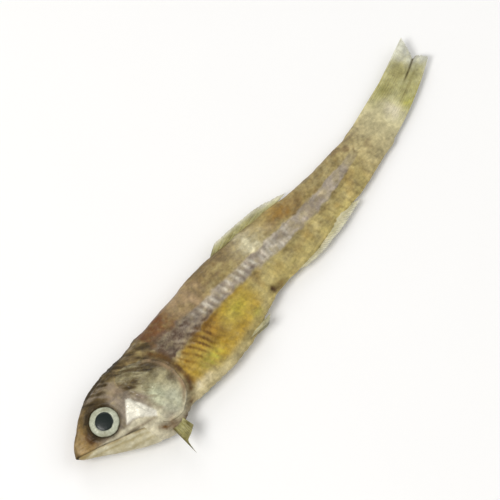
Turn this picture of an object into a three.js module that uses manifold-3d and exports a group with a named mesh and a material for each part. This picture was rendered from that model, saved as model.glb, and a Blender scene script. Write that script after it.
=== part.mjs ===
// A whole dried sprat, lying on its right side. Millimetres, +Z up.
// +X runs from the snout to the tail, +Y from the belly to the back, and +Z from the right flank,
// which lies on the surface, to the left flank. The origin is under the middle of the fish, at
// the surface.
//
// The fish is drawn in hundredths of its total length (PERCENT), with x from the snout tip
// and y from the level of the mouth. Heights (z) are from the surface that it lies on.

import * as THREE from "three";
import { mergeVertices } from "three/addons/utils/BufferGeometryUtils.js";
import Module from "manifold-3d";

const wasm = await Module();
wasm.setup();

// ---- driving dimensions -------------------------------------------------------------------------

const TOTAL_LENGTH = 85; // mm, snout tip to the tip of the tail fin
const PERCENT = TOTAL_LENGTH / 100; // mm, the unit of every outline below
const GAP = 0.3; // mm, clearance between neighbouring pieces
const PLATE = 0.4; // mm, thickness of a gill cover
const RAY = 0.45; // mm, thickness of a fin along its rays
const MEMBRANE = 0.3; // mm, thickness of a fin between its rays

const BODY_END = 85.5; // where the flesh stops and the tail fin goes on
const END_ROUNDING = 3.5; // length over which the flesh rounds off into the tail fin
const BODY_RINGS = 52;
const RING_POINTS = 28;
const THINNEST = 0.02; // mm, keeps the last ring open
const BACK_SHAPE = 2.3; // superellipse exponent above the thickest line: a round back
const BELLY_SHAPE = 1.75; // and below it: a belly that narrows to a keel
const THICKEST_AT = 0.44; // share of the depth, from the back, where the fish is thickest

// ---- outlines, in PERCENT -----------------------------------------------------------------------

// [x, y] along the back
const BACK = [
  [0, 0.4], [1.6, 2.1], [3.7, 3.5], [7.7, 5.7], [11.8, 6.8], [15.9, 7.1], [19.9, 6.7], [24, 6.9],
  [36, 7.6], [43, 7.6], [52, 6.5], [61, 5.2], [67, 4.5], [73, 4.3], [81, 5], [BODY_END, 5.9],
];
// [x, y] along the belly
const BELLY = [
  [0, -0.2], [1.6, -1.6], [3.7, -3.1], [7.7, -6.1], [11.8, -8.7], [15.9, -10], [19.9, -8.9], [22, -8.5],
  [28, -9.3], [32, -9.4], [36, -9], [40, -8.1], [47.6, -6.1], [56.5, -6], [64.6, -5.4],
  [73, -4.4], [81, -3.2], [BODY_END, -2.6],
];
// [x, half the thickness]
const HALF_WIDTH = [
  [0, 0.6], [1.6, 1.3], [3.7, 2], [7.7, 2.85], [11.8, 3.4], [15.9, 3.65], [20, 3.5], [24, 3.15],
  [32, 3.2], [40, 2.85], [48, 2.35], [60, 1.85], [73, 1.3], [81, 0.95], [BODY_END, 0.6],
];
// [x, height of the middle plane]: the tail sags towards the surface
const MID_HEIGHT = [
  [0, 3.3], [16, 3.2], [32, 2.85], [48, 2.5], [60, 2.15], [73, 1.75], [BODY_END, 1.5], [100, 2.1],
];

// The eye turns to follow the slope of the cheek. `bulge` is half its thickness, and `sink` is how
// far its middle lies under the widest part of the cheek.
const EYE = { x: 7.9, y: 0.4, radius: 2.75, bulge: 0.75, sink: 0.55, turn: 9 };

// Side view of a gill cover, clockwise from its upper front
const GILL_COVER = [
  [14.2, 4.2], [17.1, 5.2], [20.7, 3.3], [22.8, -0.4], [23, -3.7], [22, -6.5], [19.9, -8.1],
  [17.1, -8.6], [14.8, -7.2], [13.4, -3.5], [13.3, 0.5],
];
// Side view of the lower jaw: the mouth line from the tip back to the joint, then round under it
const MOUTH_LINE = [[0.4, -0.15], [3.9, -1.7], [8.4, -3.9], [12.2, -5.7]];
const JAW_UNDERSIDE = [[12.6, -7.4], [11.9, -11], [-2, -11], [-2, -0.2]];

// ---- curves -------------------------------------------------------------------------------------

// A smooth function of x through [x, value] stations (cubic Hermite).
function profile(stations) {
  const slope = (i) => {
    const a = stations[Math.max(i - 1, 0)];
    const b = stations[Math.min(i + 1, stations.length - 1)];
    return (b[1] - a[1]) / (b[0] - a[0]);
  };
  return (x) => {
    const last = stations.length - 2;
    const i = Math.min(Math.max(stations.findIndex((s) => s[0] >= x) - 1, 0), last);
    const [[x0, y0], [x1, y1]] = [stations[i], stations[i + 1]];
    const span = x1 - x0;
    const t = THREE.MathUtils.clamp((x - x0) / span, 0, 1);
    const rise = 3 * t ** 2 - 2 * t ** 3;
    const bend = slope(i) * (t ** 3 - 2 * t ** 2 + t) + slope(i + 1) * (t ** 3 - t ** 2);
    return y0 + (y1 - y0) * rise + span * bend;
  };
}

const back = profile(BACK);
const belly = profile(BELLY);
const halfWidth = profile(HALF_WIDTH);
const midHeight = profile(MID_HEIGHT);

// ---- solids -------------------------------------------------------------------------------------

// A three.js geometry as a manifold-3d solid, and back.
function solid(geometry) {
  const bare = geometry.index ? geometry.toNonIndexed() : geometry.clone();
  for (const name of Object.keys(bare.attributes)) {
    if (name !== "position") bare.deleteAttribute(name);
  }
  const merged = mergeVertices(bare, 1e-4);
  return new wasm.Manifold(
    new wasm.Mesh({
      numProp: 3,
      vertProperties: new Float32Array(merged.attributes.position.array),
      triVerts: new Uint32Array(merged.index.array),
    }),
  );
}

function geometry(body) {
  const { numProp, numVert, vertProperties, triVerts } = body.getMesh();
  const positions = new Float32Array(numVert * 3);
  for (let i = 0; i < numVert; i++) {
    positions.set(vertProperties.subarray(i * numProp, i * numProp + 3), i * 3);
  }
  const made = new THREE.BufferGeometry();
  made.setAttribute("position", new THREE.BufferAttribute(positions, 3));
  made.setIndex(new THREE.BufferAttribute(triVerts, 1));
  made.computeVertexNormals();
  return made;
}

function largest(body) {
  return body.decompose().sort((a, b) => b.volume() - a.volume())[0];
}

// A closed geometry from a grid of points (rows of equal length) whose rows are closed rings,
// with a fan over each end.
function lofted(rings) {
  const around = rings[0].length;
  const positions = rings.flat().flatMap((p) => [p.x, p.y, p.z]);
  const faces = [];
  for (let r = 0; r + 1 < rings.length; r++) {
    for (let k = 0; k < around; k++) {
      const next = (k + 1) % around;
      const [a, b, c, d] = [k, next, k + around, next + around].map((i) => i + r * around);
      faces.push(a, b, c, b, d, c);
    }
  }
  for (const [ring, start, turned] of [
    [rings[0], 0, false],
    [rings.at(-1), (rings.length - 1) * around, true],
  ]) {
    const middle = positions.length / 3;
    const centre = ring.reduce((sum, p) => sum.add(p), new THREE.Vector3()).divideScalar(around);
    positions.push(centre.x, centre.y, centre.z);
    for (let k = 0; k < around; k++) {
      const next = (k + 1) % around;
      faces.push(middle, start + (turned ? k : next), start + (turned ? next : k));
    }
  }
  const made = new THREE.BufferGeometry();
  made.setAttribute("position", new THREE.Float32BufferAttribute(positions, 3));
  made.setIndex(faces);
  return made;
}

// The outside of head and trunk, taken in by `inset` mm (or let out, where it is negative). The
// side that the fish lies on is flat where it meets the surface.
function trunk(inset) {
  const rings = [];
  for (let r = 0; r < BODY_RINGS; r++) {
    const even = r / (BODY_RINGS - 1);
    const share = (even + (1 - Math.cos(Math.PI * even)) / 2) / 2; // closer together at both ends
    const at = share * BODY_END;
    const x = inset + share * (BODY_END * PERCENT - 2 * inset);
    const [top, bottom] = [back(at) * PERCENT, belly(at) * PERCENT];
    const intoEnd = Math.max(0, (at - BODY_END + END_ROUNDING) / END_ROUNDING);
    const endRound = Math.sqrt(1 - intoEnd ** 2);
    const middle = top + (bottom - top) * THICKEST_AT;
    const up = Math.max((top - middle) * endRound - inset, THINNEST);
    const down = Math.max((middle - bottom) * endRound - inset, THINNEST);
    const half = Math.max(halfWidth(at) * PERCENT * endRound - inset, THINNEST);
    const ring = [];
    for (let k = 0; k < RING_POINTS; k++) {
      const [c, s] = [Math.cos, Math.sin].map((f) => f((2 * Math.PI * k) / RING_POINTS));
      const power = 2 / (c > 0 ? BACK_SHAPE : BELLY_SHAPE);
      const y = middle + (c > 0 ? up : down) * Math.sign(c) * Math.abs(c) ** power;
      const z = midHeight(at) * PERCENT + half * Math.sign(s) * Math.abs(s) ** power;
      ring.push(new THREE.Vector3(x, y, Math.max(z, inset)));
    }
    rings.push(ring);
  }
  return solid(lofted(rings));
}

// A side-view outline as a prism between two heights. Grown outlines keep clearances.
function prism(points, low, high) {
  const shape = new THREE.Shape(points.map(([x, y]) => new THREE.Vector2(x * PERCENT, y * PERCENT)));
  const depth = high - low;
  const made = new THREE.ExtrudeGeometry(shape, { depth, bevelEnabled: false });
  return solid(made.translate(0, 0, low));
}

// A closed outline let out by `distance` mm along its own normals.
function letOut(points, distance) {
  const at = (i) => points[(i + points.length) % points.length];
  return points.map(([x, y], i) => {
    const along = new THREE.Vector2(at(i + 1)[0] - at(i - 1)[0], at(i + 1)[1] - at(i - 1)[1]);
    along.normalize().multiplyScalar(distance / PERCENT);
    return [x - along.y, y + along.x]; // outlines run clockwise
  });
}

// A smooth curve through [x, y] points, open or closed.
function curveThrough(points, closed) {
  const places = points.map(([x, y]) => new THREE.Vector3(x, y, 0));
  return new THREE.CatmullRomCurve3(places, closed, "centripetal");
}

function eyeball(side, grow) {
  const height = midHeight(EYE.x) + side * (halfWidth(EYE.x) - EYE.sink);
  const made = new THREE.SphereGeometry(1, 24, 12);
  made.rotateX(Math.PI / 2);
  const radius = EYE.radius * PERCENT + grow;
  made.scale(radius, radius, EYE.bulge * PERCENT + grow);
  made.rotateY(-side * THREE.MathUtils.degToRad(EYE.turn));
  made.translate(EYE.x * PERCENT, EYE.y * PERCENT, height * PERCENT);
  return solid(made);
}

// A fin: rays from points of a base line to points of a tip line, joined by thinner membrane.
// `lift` gives the height of the fin's middle at a share across it and a share along its rays.
function fin({ base, tip, rays, lift }) {
  const steps = 4; // along each ray
  const [root, edge] = [curveThrough(base, false), curveThrough(tip, false)];
  const columns = 2 * rays - 1;
  const surface = (sign) => {
    const grid = [];
    for (let i = 0; i < columns; i++) {
      const across = i / (columns - 1);
      const [from, to] = [root.getPoint(across), edge.getPoint(across)];
      const thick = (i % 2 === 0 ? RAY : MEMBRANE) / 2;
      const ray = [];
      for (let j = 0; j <= steps; j++) {
        const p = from.clone().lerp(to, j / steps).multiplyScalar(PERCENT);
        ray.push(p.setZ(lift(across, j / steps) * PERCENT + sign * thick));
      }
      grid.push(ray);
    }
    return grid;
  };
  const [upper, lower] = [surface(1), surface(-1)];
  const rings = upper.map((ray, i) => [...ray, ...lower[i].toReversed()]);
  const made = solid(lofted(rings));
  return made.volume() > 0 ? made : solid(lofted(rings.map((ring) => ring.toReversed())));
}

// ---- fins, in PERCENT ---------------------------------------------------------------------------

const TAIL_FIN = {
  base: [[83.2, 6.1], [85, 4.2], [85.3, 1.6], [85, -0.9], [83.2, -3]],
  tip: [[99.2, 9.3], [98.3, 6.9], [97.6, 5.6], [98.6, 4.7], [100, 3.5]],
  rays: 13,
  lift: (across, along) => 1.5 + along * (0.9 - 0.8 * across),
};
// Folded back along the ridge of the back
const DORSAL_FIN = {
  base: [[43, 7], [46, 6.8], [50, 6.1], [54, 5.4]],
  tip: [[46.5, 8.5], [52, 8], [57.5, 7.3], [62.6, 5.3]],
  rays: 9,
  lift: (across, along) => 2.7 - 0.45 * across + 0.3 * along,
};
// Folded back along the underside of the tail stem
const ANAL_FIN = {
  base: [[51, -5.2], [56, -5.3], [62, -5], [67, -4.5]],
  tip: [[54.5, -6.8], [59, -7.1], [65, -6.6], [70.5, -5.6]],
  rays: 10,
  lift: (across, along) => 2.45 - 0.55 * across - 0.2 * along,
};
// Dried sticking out below the throat, with one long leading ray
const LEFT_PECTORAL_FIN = {
  base: [[15.1, -8.8], [16, -9], [17, -8.8], [17.9, -8.5]],
  tip: [[14.5, -15.6], [15.3, -13], [16.7, -12.3], [18.1, -11.6]],
  rays: 6,
  lift: (across, along) => 4.2 - 0.3 * across + 0.5 * along,
};
// Pressed back against the flank that the fish lies on
const RIGHT_PECTORAL_FIN = {
  base: [[20.4, -6.4], [20.7, -7.1], [21, -7.8], [21.2, -8.4]],
  tip: [[29, -7.9], [28.3, -8.4], [27.2, -8.8], [25.5, -9]],
  rays: 6,
  lift: (across, along) => 0.55 + 1.15 * across + 0.35 * along,
};
const pelvicFin = (side) => ({
  base: [[36.6, -8.6], [37.4, -8.4], [38.2, -8.1]],
  tip: [[41.6, -8.8], [42.4, -8.4], [43, -7.9]],
  rays: 5,
  lift: (across, along) => 2.75 + side * (0.75 + 0.15 * along),
});

// ---- materials ----------------------------------------------------------------------------------

const material = (color, roughness) =>
  new THREE.MeshStandardMaterial({ color, roughness, metalness: 0 });
const SKIN = material(0xa08a50, 0.45);
const GILL_PLATE = material(0xb8b490, 0.3);
const JAW = material(0xb0a070, 0.4);
const EYEBALL = material(0xc8ccb8, 0.2);
const FIN_WEB = material(0xb5ac6a, 0.5);

// ---- the pieces ---------------------------------------------------------------------------------

const sprat = new THREE.Group();

function piece(name, body, look) {
  const mesh = new THREE.Mesh(geometry(largest(body)), look);
  mesh.name = name;
  sprat.add(mesh);
}

const [LEFT, RIGHT] = [1, -1];
const ABOVE_ALL = 20; // mm, higher than any part of the fish
const whole = trunk(0);
const clearOfBody = trunk(-GAP);

// The prism of a gill cover's outline on one side of the fish's middle plane, and clear of it.
function flankSide(outline, side, clearance) {
  const middle = midHeight(GILL_COVER[0][0]) * PERCENT + side * clearance;
  return side === LEFT ? prism(outline, middle, ABOVE_ALL) : prism(outline, -ABOVE_ALL, middle);
}

const GILL_POINTS = 36;
const gillOutline = curveThrough(GILL_COVER, true)
  .getSpacedPoints(GILL_POINTS).slice(0, -1).map((p) => [p.x, p.y]);
const gillRecess = trunk(PLATE + GAP);
const underGill = trunk(PLATE);
const MOUTH_STEPS = 9;
const mouth = curveThrough(MOUTH_LINE, false).getPoints(MOUTH_STEPS).map((p) => [p.x, p.y]);
const jawOutline = [...mouth, ...JAW_UNDERSIDE];

let head = whole;
for (const side of [LEFT, RIGHT]) {
  const recess = flankSide(letOut(gillOutline, GAP), side, GAP);
  head = head.subtract(recess.subtract(gillRecess)).subtract(eyeball(side, GAP));
}
head = head.subtract(prism(letOut(jawOutline, GAP), -ABOVE_ALL, ABOVE_ALL));
piece("body", head, SKIN);

for (const [side, hand] of [[LEFT, "left"], [RIGHT, "right"]]) {
  piece(`${hand}_eye`, eyeball(side, 0), EYEBALL);
  const plate = whole.intersect(flankSide(gillOutline, side, 2 * GAP)).subtract(underGill);
  piece(`${hand}_gill_cover`, plate, GILL_PLATE);
  piece(`${hand}_pelvic_fin`, fin(pelvicFin(side)).subtract(clearOfBody), FIN_WEB);
}
piece("lower_jaw", whole.intersect(prism(jawOutline, -ABOVE_ALL, ABOVE_ALL)), JAW);
piece("left_pectoral_fin", fin(LEFT_PECTORAL_FIN).subtract(clearOfBody), FIN_WEB);
piece("right_pectoral_fin", fin(RIGHT_PECTORAL_FIN).subtract(clearOfBody), FIN_WEB);
piece("dorsal_fin", fin(DORSAL_FIN).subtract(clearOfBody), FIN_WEB);
piece("anal_fin", fin(ANAL_FIN).subtract(clearOfBody), FIN_WEB);
piece("tail_fin", fin(TAIL_FIN).subtract(clearOfBody), FIN_WEB);

// Put the origin under the middle of the whole fish.
const extent = new THREE.Box3().setFromObject(sprat);
const middle = extent.getCenter(new THREE.Vector3());
sprat.position.set(-middle.x, -middle.y, -extent.min.z);

export default sprat;
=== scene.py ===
"""The looks of a whole dried sprat that lies on its right side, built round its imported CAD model.

Shapes are drawn in hundredths of the fish's length, as the CAD model's are: x from the snout tip,
y from the level of the mouth, z from the surface that it lies on. mesh_piece() turns them into metres.
"""

import itertools
import math

import bpy
import numpy as np
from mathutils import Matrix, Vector


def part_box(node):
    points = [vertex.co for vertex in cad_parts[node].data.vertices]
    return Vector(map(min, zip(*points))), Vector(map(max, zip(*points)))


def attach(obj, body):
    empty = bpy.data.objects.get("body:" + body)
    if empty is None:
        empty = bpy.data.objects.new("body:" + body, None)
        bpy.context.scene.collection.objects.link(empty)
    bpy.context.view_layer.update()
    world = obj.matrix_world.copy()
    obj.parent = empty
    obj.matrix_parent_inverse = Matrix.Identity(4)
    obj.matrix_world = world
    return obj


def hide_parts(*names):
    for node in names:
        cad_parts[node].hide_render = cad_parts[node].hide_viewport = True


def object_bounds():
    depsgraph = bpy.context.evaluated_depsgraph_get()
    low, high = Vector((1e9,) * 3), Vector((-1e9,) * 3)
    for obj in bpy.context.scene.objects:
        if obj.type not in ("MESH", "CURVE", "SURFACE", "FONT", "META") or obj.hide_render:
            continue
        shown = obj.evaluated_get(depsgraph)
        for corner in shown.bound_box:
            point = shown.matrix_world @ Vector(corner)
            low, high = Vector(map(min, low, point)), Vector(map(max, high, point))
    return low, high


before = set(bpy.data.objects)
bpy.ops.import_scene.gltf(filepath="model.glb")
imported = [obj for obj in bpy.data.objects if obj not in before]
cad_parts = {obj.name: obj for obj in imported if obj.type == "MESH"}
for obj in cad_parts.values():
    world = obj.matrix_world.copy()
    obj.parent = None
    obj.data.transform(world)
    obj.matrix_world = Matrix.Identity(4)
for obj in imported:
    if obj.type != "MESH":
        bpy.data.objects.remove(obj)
cad_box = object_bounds()

# ---- camera and light ----

AZIMUTH = -49  # degrees, so that the head is at the lower left and the tail at the upper right
ELEVATION = 70
DISTANCE = 0.6  # metres
VIEW_WIDTH = 0.076  # metres across the picture, at the fish
# Metres, from the middle of the CAD model to the middle of its outline as the camera sees it.
AIM = Vector((-0.0004, 0.005, 0))
SENSOR = 36  # millimetres
WARM, COOL, WHITE = (1.0, 0.985, 0.96), (0.97, 0.985, 1.0), (1.0, 1.0, 1.0)
WORLD_STRENGTH = 0.42


def direction(azimuth, elevation):
    """The unit vector from the fish towards a viewer there."""
    a, e = math.radians(azimuth), math.radians(elevation)
    return Vector((math.sin(a) * math.cos(e), -math.cos(a) * math.cos(e), math.sin(e)))


def aim(thing, towards):
    thing.rotation_euler = (Vector(towards) - thing.location).to_track_quat("-Z", "Y").to_euler()


def make_camera():
    data = bpy.data.cameras.new("camera")
    data.sensor_width = SENSOR
    data.lens = SENSOR * DISTANCE / VIEW_WIDTH
    camera = bpy.data.objects.new("camera", data)
    bpy.context.collection.objects.link(camera)
    middle = (cad_box[0] + cad_box[1]) / 2 + AIM
    camera.location = middle + direction(AZIMUTH, ELEVATION) * DISTANCE
    aim(camera, middle)
    data.clip_start = 0.01
    bpy.context.scene.camera = camera


def area_light(name, azimuth, elevation, distance, size, power, colour):
    data = bpy.data.lights.new(name, "AREA")
    data.size = size
    data.energy = power
    data.color = colour
    light = bpy.data.objects.new(name, data)
    bpy.context.collection.objects.link(light)
    light.location = direction(azimuth, elevation) * distance
    aim(light, (0, 0, 0))


def make_studio():
    area_light("key", azimuth=-100, elevation=55, distance=0.75, size=0.3, power=3.3, colour=WARM)
    area_light("fill", azimuth=60, elevation=50, distance=0.8, size=0.7, power=1.5, colour=COOL)
    area_light("rim", azimuth=150, elevation=35, distance=0.8, size=0.4, power=0.9, colour=WHITE)
    world = bpy.data.worlds.new("studio")
    bpy.context.scene.world = world
    world.use_nodes = True
    background = world.node_tree.nodes["Background"]
    background.inputs["Color"].default_value = (*WARM, 1)
    background.inputs["Strength"].default_value = WORLD_STRENGTH
    bpy.context.scene.view_settings.view_transform = "Standard"


make_camera()
make_studio()

# ---- curves and fields ----


def profile(stations):
    """A smooth function of x through (x, value) stations (cubic Hermite)."""
    xs, values = np.array(stations, float).T
    order = np.arange(len(xs))
    before, after = np.maximum(order - 1, 0), np.minimum(order + 1, len(xs) - 1)
    slopes = (values[after] - values[before]) / (xs[after] - xs[before])

    def at(x):
        i = np.clip(np.searchsorted(xs, x) - 1, 0, len(xs) - 2)
        span = xs[i + 1] - xs[i]
        t = np.clip((x - xs[i]) / span, 0, 1)
        rise = 3 * t**2 - 2 * t**3
        bend = slopes[i] * (t**3 - 2 * t**2 + t) + slopes[i + 1] * (t**3 - t**2)
        return values[i] + (values[i + 1] - values[i]) * rise + span * bend

    return at


def curve(points, share, closed=False):
    """Points at `share` (0 to 1) along a Catmull-Rom curve through the given points."""
    points = np.array(points, float)
    spans = len(points) if closed else len(points) - 1
    at = np.clip(np.asarray(share, float), 0, 1) * spans
    i = np.minimum(at.astype(int), spans - 1)
    t = (at - i)[..., None]
    wrap = (lambda k: k % len(points)) if closed else (lambda k: np.clip(k, 0, len(points) - 1))
    a, b, c, d = (points[wrap(i + k)] for k in (-1, 0, 1, 2))
    return 0.5 * (
        2 * b + (c - a) * t + (2 * a - 5 * b + 4 * c - d) * t**2 + (3 * b - a - 3 * c + d) * t**3
    )


def smooth(low, high, value):
    """0 below low and 1 above high, with a soft step between. low may be above high."""
    t = np.clip((value - low) / (high - low), 0, 1)
    return t * t * (3 - 2 * t)


def between(low, high, value, soft):
    """1 from low to high and 0 outside, with steps that are twice `soft` wide."""
    return smooth(low - soft, low + soft, value) * (1 - smooth(high - soft, high + soft, value))


def hump(value, centre, width):
    """1 at the centre, fading out over about the width on both sides."""
    return np.exp(-(((value - centre) / width) ** 2))


def patch(x, y, centre, size):
    """The same for an oval in the side view. size is how far it fades out along x and along y."""
    return hump(np.hypot((x - centre[0]) / size[0], (y - centre[1]) / size[1]), 0, 1)


def inside(outline, x, y):
    """How far (x, y) is inside a closed outline. It is negative outside."""
    corners = np.array(outline, float)
    nearest = np.full(np.shape(x), np.inf)
    within = np.zeros(np.shape(x), bool)
    for (ax, ay), (bx, by) in zip(corners, np.roll(corners, -1, 0)):
        ex, ey = bx - ax, by - ay
        t = np.clip(((x - ax) * ex + (y - ay) * ey) / (ex**2 + ey**2), 0, 1)
        nearest = np.minimum(nearest, np.hypot(x - ax - t * ex, y - ay - t * ey))
        if ay != by:
            within ^= ((ay > y) != (by > y)) & (x < ex * (y - ay) / ey + ax)
    return np.where(within, nearest, -nearest)


def noise(points, size, seed):
    """Smooth random values from -1 to 1 whose lumps are about `size` across."""
    q = points / np.asarray(size, float) + 37.7 * seed
    cell = np.floor(q).astype(np.int64)
    t = q - cell
    t = t * t * (3 - 2 * t)
    total = np.zeros(points.shape[:-1])
    for corner in itertools.product((0, 1), repeat=3):
        x, y, z = np.moveaxis(cell + corner, -1, 0)
        mixed = (x * 73856093) ^ (y * 19349663) ^ (z * 83492791) ^ (seed * 1299721)
        mixed = ((mixed ^ (mixed >> 13)) * 1274126177) & 0xFFFFFFFF
        value = ((mixed ^ (mixed >> 16)) & 0xFFFF) / 32767.5 - 1
        total += value * np.prod(np.where(corner, t, 1 - t), axis=-1)
    return total


def fractal(points, size, seed, octaves):
    """Noise with ever smaller and weaker noise added, each half the size of the one before."""
    return sum(noise(points, np.asarray(size) / 2**k, seed + k) / 2**k for k in range(octaves))


# ---- the fish's outlines, in hundredths of its length ----

BODY_END = 85.5
BACK_SHAPE, BELLY_SHAPE = 2.3, 1.75  # superellipse exponents of the cross-section
THICKEST_AT = 0.44  # share of the depth, from the back

back = profile([
    (0, 0.4), (1.6, 2.1), (3.7, 3.5), (7.7, 5.7), (11.8, 6.8), (15.9, 7.1), (19.9, 6.7), (24, 6.9),
    (36, 7.6), (43, 7.6), (52, 6.5), (61, 5.2), (67, 4.5), (73, 4.3), (81, 5), (BODY_END, 5.9),
])
belly = profile([
    (0, -0.2), (1.6, -1.6), (3.7, -3.1), (7.7, -6.1), (11.8, -8.7), (15.9, -10), (19.9, -8.9),
    (22, -8.5), (28, -9.3), (32, -9.4), (36, -9), (40, -8.1), (47.6, -6.1), (56.5, -6), (64.6, -5.4),
    (73, -4.4), (81, -3.2), (BODY_END, -2.6),
])
half_width = profile([
    (0, 0.6), (1.6, 1.3), (3.7, 2), (7.7, 2.85), (11.8, 3.4), (15.9, 3.65), (20, 3.5), (24, 3.15),
    (32, 3.2), (40, 2.85), (48, 2.35), (60, 1.85), (73, 1.3), (81, 0.95), (BODY_END, 0.6),
])
mid_height = profile([
    (0, 3.3), (16, 3.2), (32, 2.85), (48, 2.5), (60, 2.15), (73, 1.75), (BODY_END, 1.5), (100, 2.1),
])
mouth = profile([(0.4, -0.15), (3.9, -1.7), (8.4, -3.9), (12.2, -5.7)])
stripe_middle = profile([
    (20, 1.3), (27, 1), (32, 0.9), (40, 0.8), (48, 0.5), (52, 0.1), (57, -0.2), (65, -0.3), (70, 0.1),
    (75, 0.8), (80, 1.6),
])
stripe_half = profile([
    (20, 2.1), (27, 2.1), (33, 1.6), (40, 1.35), (48, 1.35), (57, 1.5), (66, 1.3), (74, 0.8), (80, 0.4),
])

EYE = (7.9, 0.4)
EYE_RADIUS = 2.75
GILL_COVER = [
    (14.2, 4.2), (17.1, 5.2), (20.7, 3.3), (22.8, -0.4), (23, -3.7), (22, -6.5), (19.9, -8.1),
    (17.1, -8.6), (14.8, -7.2), (13.4, -3.5), (13.3, 0.5),
]
GILL_MIDDLE = (18, -1.7)
CHEEK = [
    (10.1, -2.9), (11.5, -1.6), (13.2, 0), (13.8, -0.4), (14.6, -2.6), (15.4, -5.1), (14.8, -5.9),
    (13.9, -5.1), (12.6, -3.7), (11.6, -3.2),
]
UPPER_JAW = [(0.8, 0), (4, -0.9), (8, -2.9), (10.3, -3.5), (10.9, -4.5), (9.9, -5), (6, -3.2), (3, -1.7)]

body_low, body_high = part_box("body")
PERCENT = (body_high.x - body_low.x) / BODY_END  # metres
MM = 0.001 / PERCENT  # a millimetre, in hundredths of the length
TOP_OF_BACK = back(np.linspace(0, BODY_END, 400)).max()
ORIGIN = np.array([body_low.x, body_high.y - TOP_OF_BACK * PERCENT, 0])

# ---- meshes ----

CREASE_ANGLE = math.radians(55)  # an edge that turns more than this stays sharp


def unit(vectors):
    return vectors / np.maximum(np.linalg.norm(vectors, axis=-1, keepdims=True), 1e-9)


def tube_faces(rows, columns):
    """Faces of a grid whose rows are closed rings. A fan to a point after the grid closes each end."""
    row, k = np.meshgrid(np.arange(rows - 1), np.arange(columns), indexing="ij")
    here, after = row * columns + k, row * columns + (k + 1) % columns
    faces = np.stack([here, here + columns, after + columns, after], -1).reshape(-1, 4).tolist()
    first, last = rows * columns, rows * columns + 1
    end = (rows - 1) * columns
    for k in range(columns):
        after = (k + 1) % columns
        faces.append([first, k, after])
        faces.append([last, end + after, end + k])
    return faces


def closed_tube(grid):
    """(points, faces) of a closed tube from a grid (rows, columns, 3)."""
    rows, columns = grid.shape[:2]
    ends = np.stack([grid[0].mean(0), grid[-1].mean(0)])
    return np.concatenate([grid.reshape(-1, 3), ends]), tube_faces(rows, columns)


def with_ends(mask):
    """A mask over a grid, as one value a point, with values for closed_tube's two end points."""
    return np.concatenate([mask.ravel(), [mask[0].mean(), mask[-1].mean()]])


def all_with_ends(masks):
    return {name: with_ends(mask) for name, mask in masks.items()}


def clipped(masks):
    return {name: np.clip(mask, 0, 1) for name, mask in masks.items()}


def signed_volume(points, faces):
    """Six times the volume. It is positive where the faces look out."""
    total = 0
    for size in (3, 4):
        corners = np.array([f for f in faces if len(f) == size], int).reshape(-1, size)
        for k in range(1, size - 1):
            a, b, c = points[corners[:, 0]], points[corners[:, k]], points[corners[:, k + 1]]
            total += np.einsum("ij,ij->i", a, np.cross(b, c)).sum()
    return total


def mesh_piece(node, points, faces, masks, material):
    """One piece in place of a CAD node. Masks are point values that its material reads by name."""
    if signed_volume(points, faces) < 0:
        faces = [face[::-1] for face in faces]
    mesh = bpy.data.meshes.new("sprat_" + node)
    mesh.from_pydata((points * PERCENT + ORIGIN).tolist(), [], faces)
    for name, values in masks.items():
        mesh.attributes.new(name, "FLOAT", "POINT").data.foreach_set("value", values.astype(np.float32))
    mesh.shade_smooth()
    mesh.set_sharp_from_angle(angle=CREASE_ANGLE)
    mesh.materials.append(material)
    piece = bpy.data.objects.new("sprat_" + node, mesh)
    bpy.context.collection.objects.link(piece)
    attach(piece, "root")
    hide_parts(node)


# ---- materials ----


def srgb(red, green, blue):
    """A colour given in 0 to 255, as the linear values that shaders take."""
    parts = [c / 255 for c in (red, green, blue)]
    return [c / 12.92 if c < 0.04045 else ((c + 0.055) / 1.055) ** 2.4 for c in parts] + [1]


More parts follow.
